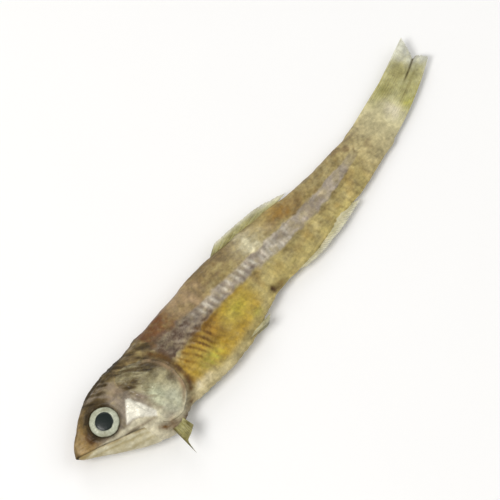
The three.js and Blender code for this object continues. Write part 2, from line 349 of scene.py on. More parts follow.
class Shader:
    """A node material, made a node at a time."""

    def __init__(self, name, **settings):
        self.material = bpy.data.materials.new(name)
        self.material.use_nodes = True
        self.tree = self.material.node_tree
        self.surface = self.tree.nodes["Principled BSDF"]
        for setting, value in settings.items():
            socket = setting.replace("_", " ").title().replace("Ior", "IOR")
            self.surface.inputs[socket].default_value = value
        self.place = self.node("ShaderNodeTexCoord").outputs["Object"]

    def node(self, kind, **inputs):
        made = self.tree.nodes.new(kind)
        for socket, value in inputs.items():
            self.put(made.inputs[socket.replace("_", " ")], value)
        return made

    def put(self, socket, value):
        if isinstance(value, bpy.types.NodeSocket):
            self.tree.links.new(value, socket)
        else:
            socket.default_value = value

    def math(self, operation, a, b, clamp=False):
        made = self.tree.nodes.new("ShaderNodeMath")
        made.operation = operation
        made.use_clamp = clamp
        self.put(made.inputs[0], a)
        self.put(made.inputs[1], b)
        return made.outputs[0]

    def mask(self, name):
        made = self.tree.nodes.new("ShaderNodeAttribute")
        made.attribute_name = name
        return made.outputs["Fac"]

    def grain(self, size_mm, detail, stretch=(1, 1, 1)):
        """Fractal noise around 0.5, with lumps of about size_mm."""
        scaled = self.node("ShaderNodeVectorMath", Vector=self.place)
        scaled.operation = "MULTIPLY"
        scaled.inputs[1].default_value = [1000 / size_mm / s for s in stretch]
        place = scaled.outputs[0]
        made = self.node("ShaderNodeTexNoise", Vector=place, Scale=1.0, Detail=detail, Roughness=0.6)
        return made.outputs["Fac"]

    def cells(self, size_mm):
        """0 in the middle of round cells of about size_mm, rising to their edges."""
        made = self.node("ShaderNodeTexVoronoi", Vector=self.place, Scale=1000 / size_mm)
        return made.outputs["Distance"]

    def blend(self, share, a, b, kind="MIX"):
        made = self.tree.nodes.new("ShaderNodeMix")
        made.data_type = "RGBA"
        made.blend_type = kind
        for socket, value in ((made.inputs[0], share), (made.inputs[6], a), (made.inputs[7], b)):
            self.put(socket, value)
        return made.outputs[2]

    def spread(self, value, low, high, to_low=0.0, to_high=1.0):
        """The value with low to high stretched over to_low to to_high, and held there outside."""
        made = self.node("ShaderNodeMapRange", Value=value)
        for socket, number in zip(list(made.inputs)[1:5], (low, high, to_low, to_high)):
            socket.default_value = number
        return made.outputs[0]

    def ground(self, size_mm, first, second):
        """A ground that drifts between two colours in lumps of about size_mm."""
        return self.blend(self.spread(self.grain(size_mm, 4), 0.38, 0.62), first, second)

    def coats(self, ground, coats, patchiness):
        """Coats of colour over a ground, each where its mask is, broken up by the patchiness noise."""
        colour = ground
        for mask, paint in coats:
            share = self.math("MULTIPLY", self.mask(mask), patchiness, clamp=True)
            colour = self.blend(share, colour, paint)
        return colour

    def creases(self):
        """Thin winding lines: 0 on a line and 1 away from it."""
        lumps = self.grain(2.2, 3, (2.6, 0.8, 1))
        away = self.math("ABSOLUTE", self.math("SUBTRACT", lumps, 0.5), 0.0)
        return self.spread(away, 0.0, 0.07)

    def mottle(self, colour, strength):
        """Light and dark blotches, specks and dark crease lines over a colour. Where the bump has the
        same creases, as on the skin, the dark lines are painted shade in them.
        """
        blotches = self.spread(self.grain(2.0, 5), 0.32, 0.68, 1 - strength, 1 + strength)
        specks = self.spread(self.grain(0.55, 4), 0.32, 0.68, 1 - 0.8 * strength, 1 + 0.8 * strength)
        crease_shade = self.spread(self.creases(), 0.0, 1.0, 1 - 0.6 * strength, 1.0)
        for layer in (blotches, specks, crease_shade):
            colour = self.blend(1.0, colour, layer, "MULTIPLY")
        return colour

    def finish(self, colour, roughness, height, bump_mm):
        self.put(self.surface.inputs["Base Color"], colour)
        self.put(self.surface.inputs["Roughness"], roughness)
        bump = self.node("ShaderNodeBump", Height=height, Strength=1.0, Distance=bump_mm / 1000)
        self.put(self.surface.inputs["Normal"], bump.outputs[0])
        return self.material


def skin_height(shader):
    """Wrinkles, creases and pores of dried skin, as a height."""
    wrinkles = shader.grain(1.1, 5, (2.2, 0.7, 0.8))
    pores = shader.cells(0.3)
    relief = shader.math("ADD", wrinkles, shader.math("MULTIPLY", pores, 0.12))
    return shader.math("ADD", relief, shader.math("MULTIPLY", shader.creases(), 0.15))


TAIL_FLESH = srgb(190, 181, 140)
# the cheek plate's silver, lightened to near white by a painted highlight
CHEEK_SILVER_AND_HIGHLIGHT = srgb(222, 218, 202)
HEAD_COATS = [
    ("skull", srgb(142, 130, 114)),
    ("snout", srgb(152, 124, 72)),
    ("throat", srgb(202, 194, 166)),
    # pearly gill cover, lightened by painted highlights
    ("pearl", srgb(204, 206, 172)),
    ("steel", srgb(192, 192, 164)),
    ("dusky", srgb(82, 66, 34)),
    ("rosy", srgb(148, 124, 92)),
    ("cheek", CHEEK_SILVER_AND_HIGHLIGHT),
    ("rim", srgb(218, 210, 176)),
    ("umber", srgb(88, 60, 22)),
    ("dark", srgb(50, 37, 8)),
]


def make_skin():
    shader = Shader("dried_skin", coat_weight=0.08, coat_roughness=0.2, ior=1.34)
    patches = shader.spread(shader.grain(1.5, 5), 0.28, 0.6, 0.5, 1.2)
    ground = shader.ground(2.6, srgb(150, 133, 82), srgb(182, 167, 116))
    colour = shader.coats(ground, [
        ("back_tone", srgb(124, 104, 66)),
        ("rust", srgb(104, 66, 32)),
        ("tan", srgb(168, 143, 108)),
        ("orange", srgb(142, 108, 46)),
        ("pale", srgb(202, 194, 160)),
        ("gold", srgb(172, 138, 38)),
        ("ochre", srgb(140, 97, 0)),
        ("lime", srgb(182, 174, 66)),
        ("yellow", srgb(196, 180, 112)),
        ("cream", srgb(208, 196, 160)),
        ("silver", srgb(170, 158, 142)),
        ("violet", srgb(88, 70, 56)),
        ("bead", srgb(222, 216, 198)),
        ("rows", srgb(118, 98, 56)),
        ("amber", srgb(116, 82, 14)),
    ] + HEAD_COATS, patches)
    colour = shader.mottle(shader.blend(shader.mask("flesh"), colour, TAIL_FLESH), 0.24)
    # the cheek's silver and its painted highlight, laid again over the mottling
    colour = shader.blend(shader.math("MULTIPLY", shader.mask("cheek"), 0.75), colour, CHEEK_SILVER_AND_HIGHLIGHT)
    roughness = shader.spread(shader.grain(1.1, 4), 0.3, 0.7, 0.34, 0.58)
    roughness = shader.math("ADD", roughness, shader.math("MULTIPLY", shader.mask("dark"), 0.3))
    shader.put(shader.surface.inputs["Metallic"], shader.math("MULTIPLY", shader.mask("shine"), 0.4))
    return shader.finish(colour, roughness, skin_height(shader), 0.12)


def make_jaw_skin():
    shader = Shader("jaw_skin", coat_weight=0.12, coat_roughness=0.22, ior=1.38)
    patches = shader.spread(shader.grain(1.2, 4), 0.28, 0.58, 0.5, 1.2)
    ground = shader.ground(1.8, srgb(184, 175, 142), srgb(212, 205, 176))
    colour = shader.coats(ground, [
        ("lip", srgb(150, 130, 84)),
        ("streak", srgb(160, 146, 104)),
        ("dark", srgb(70, 58, 36)),
    ], patches)
    return shader.finish(shader.mottle(colour, 0.1), 0.4, skin_height(shader), 0.09)


def make_gill_plate():
    shader = Shader("gill_plate", coat_weight=0.18, coat_roughness=0.18, ior=1.38)
    patches = shader.spread(shader.grain(1.5, 5), 0.28, 0.6, 0.5, 1.2)
    ground = shader.ground(2.0, srgb(120, 110, 76), srgb(160, 152, 118))
    colour = shader.mottle(shader.coats(ground, HEAD_COATS, patches), 0.24)
    roughness = shader.spread(shader.grain(0.8, 3), 0.3, 0.7, 0.24, 0.46)
    shader.put(shader.surface.inputs["Metallic"], shader.math("MULTIPLY", shader.mask("pearl"), 0.3))
    return shader.finish(colour, roughness, skin_height(shader), 0.1)


def make_eye_material():
    shader = Shader("eye", coat_weight=0.2, coat_roughness=0.15, ior=1.34)
    fibres = shader.spread(shader.grain(0.4, 5), 0.32, 0.68, 0.72, 1.12)
    iris = shader.blend(1.0, srgb(190, 194, 172), fibres, "MULTIPLY")
    colour = shader.coats(iris, [
        ("tarnish", srgb(132, 130, 102)),
        ("rim", srgb(84, 78, 54)),
        ("pupil", srgb(6, 22, 18)),
    ], 1.0)
    return shader.finish(colour, 0.38, shader.grain(0.3, 3), 0.02)


def make_fin_web():
    shader = Shader("fin_web", coat_weight=0.15, coat_roughness=0.3, ior=1.4)
    patches = shader.spread(shader.grain(1.3, 4), 0.28, 0.58, 0.5, 1.2)
    ground = shader.ground(1.8, srgb(190, 186, 128), srgb(214, 211, 162))
    colour = shader.coats(ground, [
        ("streak", srgb(160, 152, 96)),
        ("ray", srgb(174, 166, 108)),
        ("lime", srgb(178, 174, 74)),
        ("olive", srgb(116, 108, 46)),
        ("cream", srgb(214, 206, 180)),
        ("tip", srgb(222, 222, 206)),
        ("dark", srgb(92, 80, 46)),
    ], patches)
    thin = shader.math("MULTIPLY", shader.mask("thin"), 0.4)
    shader.put(shader.surface.inputs["Alpha"], shader.math("SUBTRACT", 1.0, thin, clamp=True))
    colour = shader.mottle(shader.blend(shader.mask("flesh"), colour, TAIL_FLESH), 0.2)
    return shader.finish(colour, 0.42, shader.grain(0.4, 3), 0.04)


FLOOR_REACH = 3.0  # metres


def make_floor():
    mesh = bpy.data.meshes.new("floor")
    reach = FLOOR_REACH
    corners = [(-reach, -reach, 0), (reach, -reach, 0), (reach, reach, 0), (-reach, reach, 0)]
    mesh.from_pydata(corners, [], [(0, 1, 2, 3)])
    floor = bpy.data.objects.new("floor", mesh)
    bpy.context.collection.objects.link(floor)
    shader = Shader("floor", roughness=0.7)
    shade = shader.blend(shader.grain(30, 2), (0.9, 0.9, 0.9, 1), (0.92, 0.92, 0.92, 1))
    shader.put(shader.surface.inputs["Base Color"], shade)
    mesh.materials.append(shader.material)


make_floor()

# ---- head and trunk ----

AROUND = 216  # points round a section of the body
SNOUT_ROUNDING, END_ROUNDING = 0.9, 3.5  # how far the two ends round off
TAIL_THINS_FROM = 78
FLOOR_SOFTNESS = 0.12  # the flank that it lies on flattens over about this height
LIP_INSET = 0.05  # how far the upper edge of the lower jaw lies inside the skin
JAW_START, JAW_STOP = 0.35, 13.2
JAW_ROWS, JAW_AROUND = 112, 160
EYE_TILT = math.radians(9)
EYE_ROWS, EYE_AROUND = 60, 120
PUPIL = 0.57  # of the eye's radius
GILL_ROWS, GILL_AROUND = 46, 200
GILL_HINGE = (14.3, 3.6)  # the corner that the gill cover's ridges fan from
GILL_DEPTH = 0.45  # how far the plate goes in under the plain fish's surface


def trunk(x, angle):
    """Points of the plain fish: head and trunk, without its surface detail."""
    into_snout = np.clip(1 - x / SNOUT_ROUNDING, 0, 1)
    into_end = np.clip((x - BODY_END + END_ROUNDING) / END_ROUNDING, 0, 1)
    ends = np.sqrt(np.clip(1 - into_snout**2, 0, 1) * np.clip(1 - into_end**2, 0, 1))
    top, bottom = back(x), belly(x)
    middle = top + (bottom - top) * THICKEST_AT
    c, s = np.cos(angle), np.sin(angle)
    power = np.where(c > 0, 2 / BACK_SHAPE, 2 / BELLY_SHAPE)
    reach = np.where(c > 0, top - middle, middle - bottom)
    y = middle + reach * ends * np.sign(c) * np.abs(c) ** power
    thinning = 1 - 0.75 * smooth(TAIL_THINS_FROM, BODY_END, x)
    z = mid_height(x) + half_width(x) * ends * thinning * np.sign(s) * np.abs(s) ** power
    return np.stack(np.broadcast_arrays(x, y, z), -1)


def above_floor(z):
    return (z + np.sqrt(z**2 + FLOOR_SOFTNESS**2)) / 2


def grid_normals(grid):
    along = np.gradient(grid, axis=0)
    around = np.roll(grid, -1, 1) - np.roll(grid, 1, 1)
    normals = unit(np.cross(along, around))
    outward = grid - grid.mean(1, keepdims=True)
    return normals * np.sign(np.sum(normals * outward, -1, keepdims=True))


def flank_point(x, y, side):
    """The plain fish's surface at a place in the side view. side is 1 for left and -1 for right."""
    top, bottom = back(x), belly(x)
    middle = top + (bottom - top) * THICKEST_AT
    up = y > middle
    shape = np.where(up, BACK_SHAPE, BELLY_SHAPE)
    reach = np.where(up, top - middle, middle - bottom)
    c = np.clip(np.abs(y - middle) / reach, 0, 0.999)
    z = mid_height(x) + side * half_width(x) * (1 - c**shape) ** (1 / shape)
    return np.stack(np.broadcast_arrays(x, y, z), -1)


def gill_edge(count):
    edge = curve(GILL_COVER, np.arange(count) / count, closed=True)
    wave = fractal(np.column_stack([edge, 0 * edge[:, 0]]), 2.4, 82, 3)
    return edge + 0.14 * unit(edge - GILL_MIDDLE) * wave[:, None]


def myotomes(x, y):
    """Where a point is in the rows of muscle along the trunk, as an angle that grows 2 pi a row."""
    off = np.abs(y - stripe_middle(x))
    chevron = 0.9 * smooth(0, 1.4, off) + 0.35 * off
    return 2 * math.pi * (x - chevron) / 1.62


def ribs(x, y, points):
    """The same for the ribs that show through the belly."""
    return 2 * math.pi * (x + 0.5 * y + 0.35 * noise(points, 2, 43)) / 1.35


def scores(x, y, seed, length=2.6, width=0.55):
    """Slanting streaks from -1 to 1 that run back and down."""
    along, across = (x - y) / 1.414, (x + y) / 1.414
    return fractal(np.stack([along / length, across / width, 0 * x], -1), 1, seed, 3)


def skin_relief(x, y, points):
    """The lumps, wrinkles and slanting streaks that the skin and the gill covers share."""
    lumps = 0.26 * fractal(points, 7, 1, 3) + 0.1 * fractal(points, 2.2, 5, 3)
    wrinkles = 0.09 * fractal(points, (6, 0.9, 0.9), 9, 3) * smooth(9, 24, x)
    streaks = 0.06 * scores(x, y, 20) * between(10.5, 24, x, 2) + 0.035 * fractal(points, 1.1, 21, 3)
    return lumps * smooth(0, 6, x) + wrinkles + streaks


def body_relief(x, y, points, share):
    """How far the skin stands out from the plain fish. share is the place from belly (0) to back (1)."""
    trunk_only = smooth(23, 26, x)
    flank = smooth(0.02, 0.2, share) * smooth(0.99, 0.85, share)
    off = (y - stripe_middle(x)) / stripe_half(x)
    rows = 0.045 * np.cos(myotomes(x, y)) * trunk_only * (1 - smooth(70, 82, x)) * flank
    ribbed = between(23.5, 38, x, 1) * between(-8, -1.6, y, 0.6) * flank
    ribbing = 0.055 * np.cos(ribs(x, y, points)) * ribbed
    band = 0.1 * smooth(1.1, 0.8, np.abs(off)) - 0.16 * hump(off, -1.2, 0.2) - 0.08 * hump(off, 1.2, 0.2)
    band = band * trunk_only * (1 - smooth(70, 76, x))
    beads = 0.06 * bead_rows(x, y) * hump(off, 0, 0.7) * between(31, 52, x, 3)
    tilted = x + 0.1 * y
    kink = 0.2 * hump(tilted, 50.6, 0.6) - 0.14 * hump(tilted, 52, 0.6) - 0.1 * hump(tilted, 49.2, 0.5)
    sunken = -0.28 * hump(x, 38, 6) * hump(y, -4.2, 2)
    vent = -0.25 * hump(x, 46.7, 0.5) * hump(y, -5.2, 0.45)
    scutes = 0.12 * np.abs(np.sin(math.pi * x / 1.5)) * hump(share, 0, 0.03) * between(17, 46, x, 0.6)
    along_trunk = rows + ribbing + band + beads + kink * flank
    return skin_relief(x, y, points) + along_trunk + sunken + vent + scutes


def bead_rows(x, y):
    """1 on the bright beads of the side stripe and -1 between them."""
    return np.cos(2 * math.pi * (x + 0.22 * y) / 1.45)


def head_relief(x, y):
    """How far the head stands out as well: its eye sockets, gill covers, jaws, skull and throat."""
    from_eye = np.hypot(x - EYE[0], y - EYE[1])
    socket = 0.09 * hump(from_eye, 3.4, 0.35) - 0.06 * hump(from_eye, 4, 0.3)
    socket -= 0.62 * (1 - smooth(2.55, 3.05, from_eye))
    gill = inside(gill_edge(72), x, y)
    recess = -0.5 * smooth(0.4, 1.1, gill) - 0.2 * gill_freedom(x, y) * smooth(-0.5, 0, gill)
    cheek = 0.12 * smooth(-0.1, 0.25, inside(CHEEK, x, y))
    upper_jaw = 0.13 * smooth(-0.1, 0.2, inside(UPPER_JAW, x, y))
    from_mouth = y - mouth(x)
    before_corner = smooth(0, 0.5, 11.3 - x - from_mouth)
    over_jaw = smooth(0.06, -0.12, from_mouth) * (1 - smooth(-0.9, -0.3, x - jaw_rear(y)))
    under_jaw = -0.3 * over_jaw * before_corner
    crease = -0.1 * hump(from_mouth, 1.35, 0.2) * between(1.5, 10, x, 1)
    from_back = back(x) - y
    skull_lines = between(9, 17, x, 1.5) * smooth(2.4, 1.2, from_back)
    skull = 0.05 * np.cos(2 * math.pi * from_back / 0.9) * skull_lines
    nape = 0.14 * smooth(-0.15, 0.15, x - 17.2 - 0.5 * from_back) * between(16, 24, x, 1)
    nape = nape * smooth(2.2, 4, y)
    nostril = -0.2 * patch(x, y, (4.1, 1.7), (0.22, 0.22))
    throat = between(12, 21, x, 0.7) * smooth(-7.5, -8.3, y)
    throat_rays = 0.035 * np.cos(2 * math.pi * (y + 0.35 * x) / 0.62) * throat
    jaws = upper_jaw + under_jaw + crease
    return socket + recess + cheek + jaws + skull + nape + nostril + throat_rays


def jaw_rear(y):
    """Where the lower jaw slips under the skin of the throat, which slants back and down."""
    return 12.1 - 0.2 * (y + 5.7)


def gill_freedom(x, y):
    """1 along the gill cover's free edge, at its rear and below, and 0 where it joins the head."""
    return np.clip(smooth(17.5, 20.5, x) * smooth(4.5, 2.5, y) + smooth(-6.5, -7.6, y), 0, 1)


def head_masks(x, y, points):
    """Where each coat of colour on the head goes, from 0 to 1. Skin and gill covers share them."""
    ragged = fractal(points, 1.4, 30, 4)
    streaks = scores(x, y, 33)
    wobble = 0.4 * ragged
    from_eye = np.hypot(x - EYE[0], y - EYE[1])
    from_back = back(x) - y
    below_mouth = mouth(np.minimum(x, 14)) - y
    gill = inside(gill_edge(72), x, y)
    free = gill_freedom(x, y)
    under_jaw = smooth(-1.1, -2.0, y + 0.24 * (x - 3) + 0.3 * ragged) * between(2.75, 15.75, x, 1.25)
    gill_rear = hump(gill, 0.4, 0.55) * smooth(19.5, 21, x) * smooth(3.5, 1, y)
    head_only = 1 - smooth(23.5, 25, x)
    masks = {
        "skull": 1 - smooth(14.5, 16.5, x + 0.4 * y + wobble),
        "snout": smooth(6.8, 3.8, x - 0.5 * y + wobble) * smooth(-2.6, -1.2, y + 0.3 * x),
        "throat": np.maximum(1.3 * under_jaw, 1.2 * smooth(-7.4, -8.4, y) * (1 - smooth(19, 21, x))),
        # pearly sheen of the gill cover, with painted highlights streaked over it
        "pearl": patch(x, y, (17.2, -3.4), (1.5, 2.3)) * (0.85 + 1.1 * streaks),
        "steel": patch(x, y, (19, -6), (2.6, 2.2)),
        "rosy": gill_rear + 0.8 * patch(x, y, (16.2, -8.6), (1.17, 0.9))
                + 0.5 * patch(x, y, (13, 2.6), (1.5, 1.5)),
        # the silver cheek plate with its painted highlight
        "cheek": smooth(-0.22, 0.28, inside(CHEEK, x, y) + 0.1 * ragged),
        "rim": 0.8 * hump(gill, 0.2, 0.35) * smooth(-5.8, -7.2, y) * smooth(16, 17.5, x),
    }
    masks = {name: mask * head_only for name, mask in masks.items()}
    crown = smooth(2.9, 4.7, y + 0.25 * (np.abs(x - 14) - 2) + wobble)
    crown = crown * smooth(5.5, 8.5, x) * (1 - smooth(22, 27, x))
    temple = smooth(13, 15, x) * smooth(-2.2, 1.6, y + wobble) * (1 - smooth(22, 25, x))
    # painted shade: a dark band over the eye
    brow_shade = 0.8 * smooth(5.2, 3.6, from_eye) * smooth(1.4, 2.8, y)
    masks["dusky"] = np.maximum(0.95 * crown, 0.9 * temple) * (0.8 + 0.9 * streaks) + brow_shade
    # a dark ring round the eye: partly the skin's own dark rim, partly painted shade in the socket,
    # widened and deepened at the upper front
    up_front = smooth(-1, 3, y - x + EYE[0])
    socket = 1 - smooth(3.0, 3.6 + 0.9 * up_front, from_eye + 0.15 * ragged)
    # painted shade: the head darkens towards the top outline of the back, where its surface turns away
    # from the light
    top_edge_shade = 0.55 * between(1, 9, x, 1) + 0.9 * between(9, 20, x, 1.5)
    spots = patch(x, y, (12.8, 5.1), (0.7, 0.7)) + 0.8 * patch(x, y, (16, 6.2), (1.21, 0.55))
    streak = hump(x - 19 + 1.1 * (y - 1.6), 0, 0.5) * between(0.3, 3.2, y, 0.7) * smooth(17.5, 20, x)
    masks["dark"] = sum((
        socket * (0.6 + 0.3 * up_front),
        smooth(0.95, 0.3, from_back + 0.3 * ragged) * top_edge_shade,
        spots * (0.8 + ragged),
        0.6 * streak,
        # painted shadow: a dark line on the skin just outside the gill cover's free edge
        0.35 * hump(gill, -0.3, 0.3) * free,
        0.35 * hump(below_mouth, -0.05, 0.14) * smooth(11.8, 11, x),
        0.7 * smooth(1.7, 0.4, x + 0.3 * ragged),
        0.42 * smooth(0.2, 0.6, streaks) * masks["dusky"],
    ))
    masks["umber"] = sum((
        0.6 * hump(y + 4.3 + 0.31 * (x - 9.6), 0, 0.3) * between(8.7, 14.6, x, 0.6),
        # painted shade: a dark line between the cheek and the front of the gill cover
        0.45 * hump(x - 15.6 + 0.28 * (y + 2.6), 0, 0.45) * between(-5.6, 0.5, y, 0.8),
        0.5 * patch(x, y, (21.6, -3), (0.7, 0.7)),
        1.6 * patch(x, y, (4.1, 0.3), (0.9, 1.3)),
        # painted shadow: a brown band on the skin behind the gill cover's free edge
        0.8 * hump(gill, -0.8, 0.6) * free * (0.8 + 0.6 * ragged),
    ))
    return clipped(masks)


def body_masks(x, y, points, share):
    """Where each coat of colour on the skin goes, from 0 to 1, the head's among them."""
    ragged = fractal(points, 1.5, 30, 4)
    wobble = 0.35 * ragged
    trunk_only = smooth(22.8, 24.2, x + wobble)
    off = (y - stripe_middle(x)) / stripe_half(x)
    front = 1 - smooth(28, 37, x + 2 * wobble)
    fade = 0.2 + 0.3 * front * (off > 0)
    stripe = 1 - smooth(0.95 - fade, 0.95 + fade, np.abs(off) + 0.3 * ragged)
    stripe = stripe * trunk_only * (1 - smooth(71, 78, x))
    above, below = smooth(0.7, 1.2, off + 0.3 * ragged), smooth(-0.7, -1.3, off + 0.45 * ragged)
    rib = 0.5 + 0.5 * np.cos(ribs(x, y, points))
    rows = 0.5 + 0.5 * np.cos(myotomes(x, y) + 1.5 * noise(points, 2.5, 41))
    beads = 0.5 + 0.5 * bead_rows(x, y)
    fine_beads = 0.5 + 0.5 * np.cos(2 * math.pi * (x - 0.15 * y) / 0.95)
    from_back = back(x) - y
    tilted = x + 0.1 * y
    back_blotches = 0.6 * smooth(0.15, 0.6, noise(points, (2, 1.3, 1.3), 53)) * trunk_only
    belly_tint = 0.35 + 0.5 * smooth(0.2, 0.03, share) + 0.45 * noise(points, (2, 1.4, 1.4), 46)
    yellow_belly = below * trunk_only * (1 - smooth(68, 80, x)) * (0.3 + 0.7 * smooth(42, 46, x))
    ochre_blotches = smooth(0.1, 0.6, noise(points, (1.6, 2.6, 2), 52)) * smooth(-7.5, -6, y)
    masks = {
        "back_tone": above * (smooth(0.55, 0.95, share + 0.2 * ragged) * (1 - 0.6 * smooth(50, 66, x))
                              + back_blotches),
        "rust": above * trunk_only * smooth(34, 26.5, x + 2 * wobble) * (1.15 + 0.6 * scores(x, y, 45)),
        "tan": above * between(30.5, 38, x + wobble, 2) * (0.6 + 0.5 * noise(points, 1.3, 44)),
        "yellow": above * 0.45 * patch(x, y, (55, 5), (2.6, 1.3)) + yellow_belly * belly_tint,
        "orange": above * patch(x, from_back, (58, 2), (4.6, 1.7)) * (1 + 0.6 * noise(points, 2.2, 50)),
        "pale": np.maximum(
            0.7 * hump(tilted, 50.4, 1.3) * smooth(-2.5, -0.5, y),
            smooth(-0.2, 1.2, off) * patch(x, y, (50.6, 3.4), (3.3, 2.9)) * (0.9 + 0.7 * ragged)),
        "cream": np.maximum(
            0.15 * smooth(72, 80, x + wobble),
            # the two pale patches low on the front of the belly are painted highlights
            0.6 * patch(x, y, (26.2, -7.4), (2.6, 0.7)) + 0.6 * patch(x, y, (24.3, -7.2), (0.7, 0.7))
            + 0.4 * patch(x, y, (25, -1.5), (1.3, 0.7))
            + 0.4 * smooth(0.12, 0.03, share) * smooth(38, 30, x)),
        "gold": below * trunk_only * (1 - smooth(42, 45.5, x + wobble)) * smooth(0.05, 0.15, share),
        "ochre": below * (patch(x, y, (33.6, -2.2), (3, 2.4)) * (1.2 + 0.6 * ragged)
                          + 0.35 * ochre_blotches),
        "lime": below * (patch(x, y, (29.4, -5.8), (2.6, 1.5)) * (0.5 + 0.7 * rib)
                         + 0.6 * patch(x, y, (41.3, -6.2), (1.28, 0.8))
                         + 0.6 * patch(x, y, (39, -3), (3.4, 2.2))),
        "silver": stripe * (0.85 + 0.3 * noise(points, 1.2, 47)),
        "violet": stripe * (0.12 * (1 - smooth(34, 46, x))
                            + 1.15 * front * (0.75 + 0.6 * scores(x, y, 48, 1.6, 0.5))
                            + 0.35 * (1 - beads) * between(35, 49, x, 2) * smooth(0.4, -0.3, off)
                            + 0.3 * smooth(0.2, 0.5, noise(points, (3, 1, 1), 49))),
        # bright beads on the side stripe: its silver scales, whitened as painted glints
        "bead": stripe * (beads**2 * smooth(29, 40, x) * smooth(51, 49, x) * hump(off, 0.2, 0.7)
                          + (0.2 + 0.4 * fine_beads) * between(50, 57, x, 1.5))
                * (0.5 + 0.9 * noise(points, 1.1, 51)),
        "rows": trunk_only * (1 - stripe) * smooth(0.6, 1, rows) * (0.2 + 0.2 * smooth(52, 72, x))
                * (1 - smooth(78, 83, x)) * (0.7 + 0.9 * ragged),
        "amber": np.maximum(
            below * smooth(0.3, 0.95, rib) * between(25, 34, x, 1.5) * smooth(-6.4, -3.6, y)
            * (0.85 + 0.5 * ragged),
            0.75 * hump(tilted, 23.3, 0.6) * smooth(-7.6, -6, y) * smooth(3, 1, y)
            # painted shade: a dark amber band in the groove under the front of the side stripe
            + 0.75 * hump(off, -1.25, 0.45) * between(28, 36, x, 2) * (0.9 + 0.7 * ragged)),
        "flesh": smooth(76, 86, x + 0.7 * ragged),
    }
    masks.update(head_masks(x, y, points))
    vent = patch(x, y, (46.7, -5.3), (0.55, 0.55))
    between_ribs = 0.7 * smooth(0.5, 0.95, rib) * hump(x, 31, 2.6) * between(-3.4, -0.8, y, 0.6)
    masks["umber"] = masks["umber"] + between_ribs + vent + 0.7 * patch(x, y, (48.3, -5.5), (1.68, 0.7))
    # painted shade along the groove under the side stripe
    groove_shade = 0.3 * hump(off, -1.35, 0.25) * between(34, 70, x, 3) * (0.8 + ragged)
    # painted shade: the trunk darkens along the top outline of the back
    ridge = 0.35 * smooth(0.5, 0.1, from_back) * between(20, 47, x, 2) * (0.8 + ragged)
    masks["dark"] = masks["dark"] + 0.35 * vent + groove_shade + ridge
    masks["shine"] = 0.7 * masks["silver"] + masks["bead"] + masks["cheek"]
    return clipped(masks)


def make_body(material):
    # Sections are close at the snout tip and the head, where the outline turns most.
    last = BODY_END - 2
    rounded_end = last + 2 * np.sin(np.linspace(0, math.pi / 2, 14)) ** 1.2
    stations = np.concatenate([
        np.linspace(0, 1.2, 12)[:-1],
        np.linspace(1.2, 24, 150)[:-1],
        np.linspace(24, last, 250)[:-1],
        rounded_end[:-1],
    ])
    angle = np.linspace(0, 2 * math.pi, AROUND, endpoint=False)[None, :]
    grid = trunk(stations[:, None], angle)
    x, y = grid[..., 0], grid[..., 1]
    share = (y - belly(x)) / (back(x) - belly(x))
    relief = body_relief(x, y, grid, share) + head_relief(x, y)
    relief *= smooth(0, 2.5, x) * (1 - smooth(BODY_END - 5, BODY_END - 1, x))
    masks = body_masks(x, y, grid, share)
    raised = grid + grid_normals(grid) * relief[..., None]
    raised[..., 2] = above_floor(raised[..., 2])
    points, faces = closed_tube(raised)
    mesh_piece("body", points, faces, all_with_ends(masks), material)


def make_jaw(material):
    """The lower jaw: the plain fish under the mouth line. Its rear end slips under the skin."""
    x = np.linspace(JAW_START, JAW_STOP, JAW_ROWS)[:, None]
    grid = trunk(x, np.linspace(0, 2 * math.pi, JAW_AROUND, endpoint=False)[None, :])
    x, y = grid[..., 0], grid[..., 1]
    below = mouth(x) - y
    ridge = 0.06 * hump(below, 0.45, 0.3) - 0.09 * hump(below, 1.05, 0.16) + 0.05 * hump(below, 1.9, 0.3)
    relief = ridge + 0.05 * fractal(grid, 1.2, 60, 3) - 0.45 * smooth(-0.5, 0.6, x - jaw_rear(y))
    raised = grid + grid_normals(grid) * (relief * smooth(0, 2, x))[..., None]
    raised[..., 1] = np.minimum(raised[..., 1], mouth(x) - 0.03)
    for side, keep in ((1, np.minimum), (-1, np.maximum)):
        lip = flank_point(x, mouth(x), side)[..., 2] - side * LIP_INSET
        raised[..., 2] = keep(raised[..., 2], np.where(y > mouth(x), lip, raised[..., 2]))
    raised[..., 2] = above_floor(raised[..., 2])
    ragged = fractal(grid, 1, 61, 3)
    streaks = 0.7 * hump(below, 1.1 + 0.1 * ragged, 0.25) + 0.6 * hump(below, 2.2 + 0.3 * ragged, 0.3)
    masks = clipped({
        "lip": 0.7 * smooth(0.6, 0.1, below + 0.2 * ragged) + 0.7 * smooth(3, 0.5, x),
        "streak": streaks,
        "dark": 0.5 * smooth(0.2, 0.03, below),
    })
    points, faces = closed_tube(raised)
    mesh_piece("lower_jaw", points, faces, all_with_ends(masks), material)


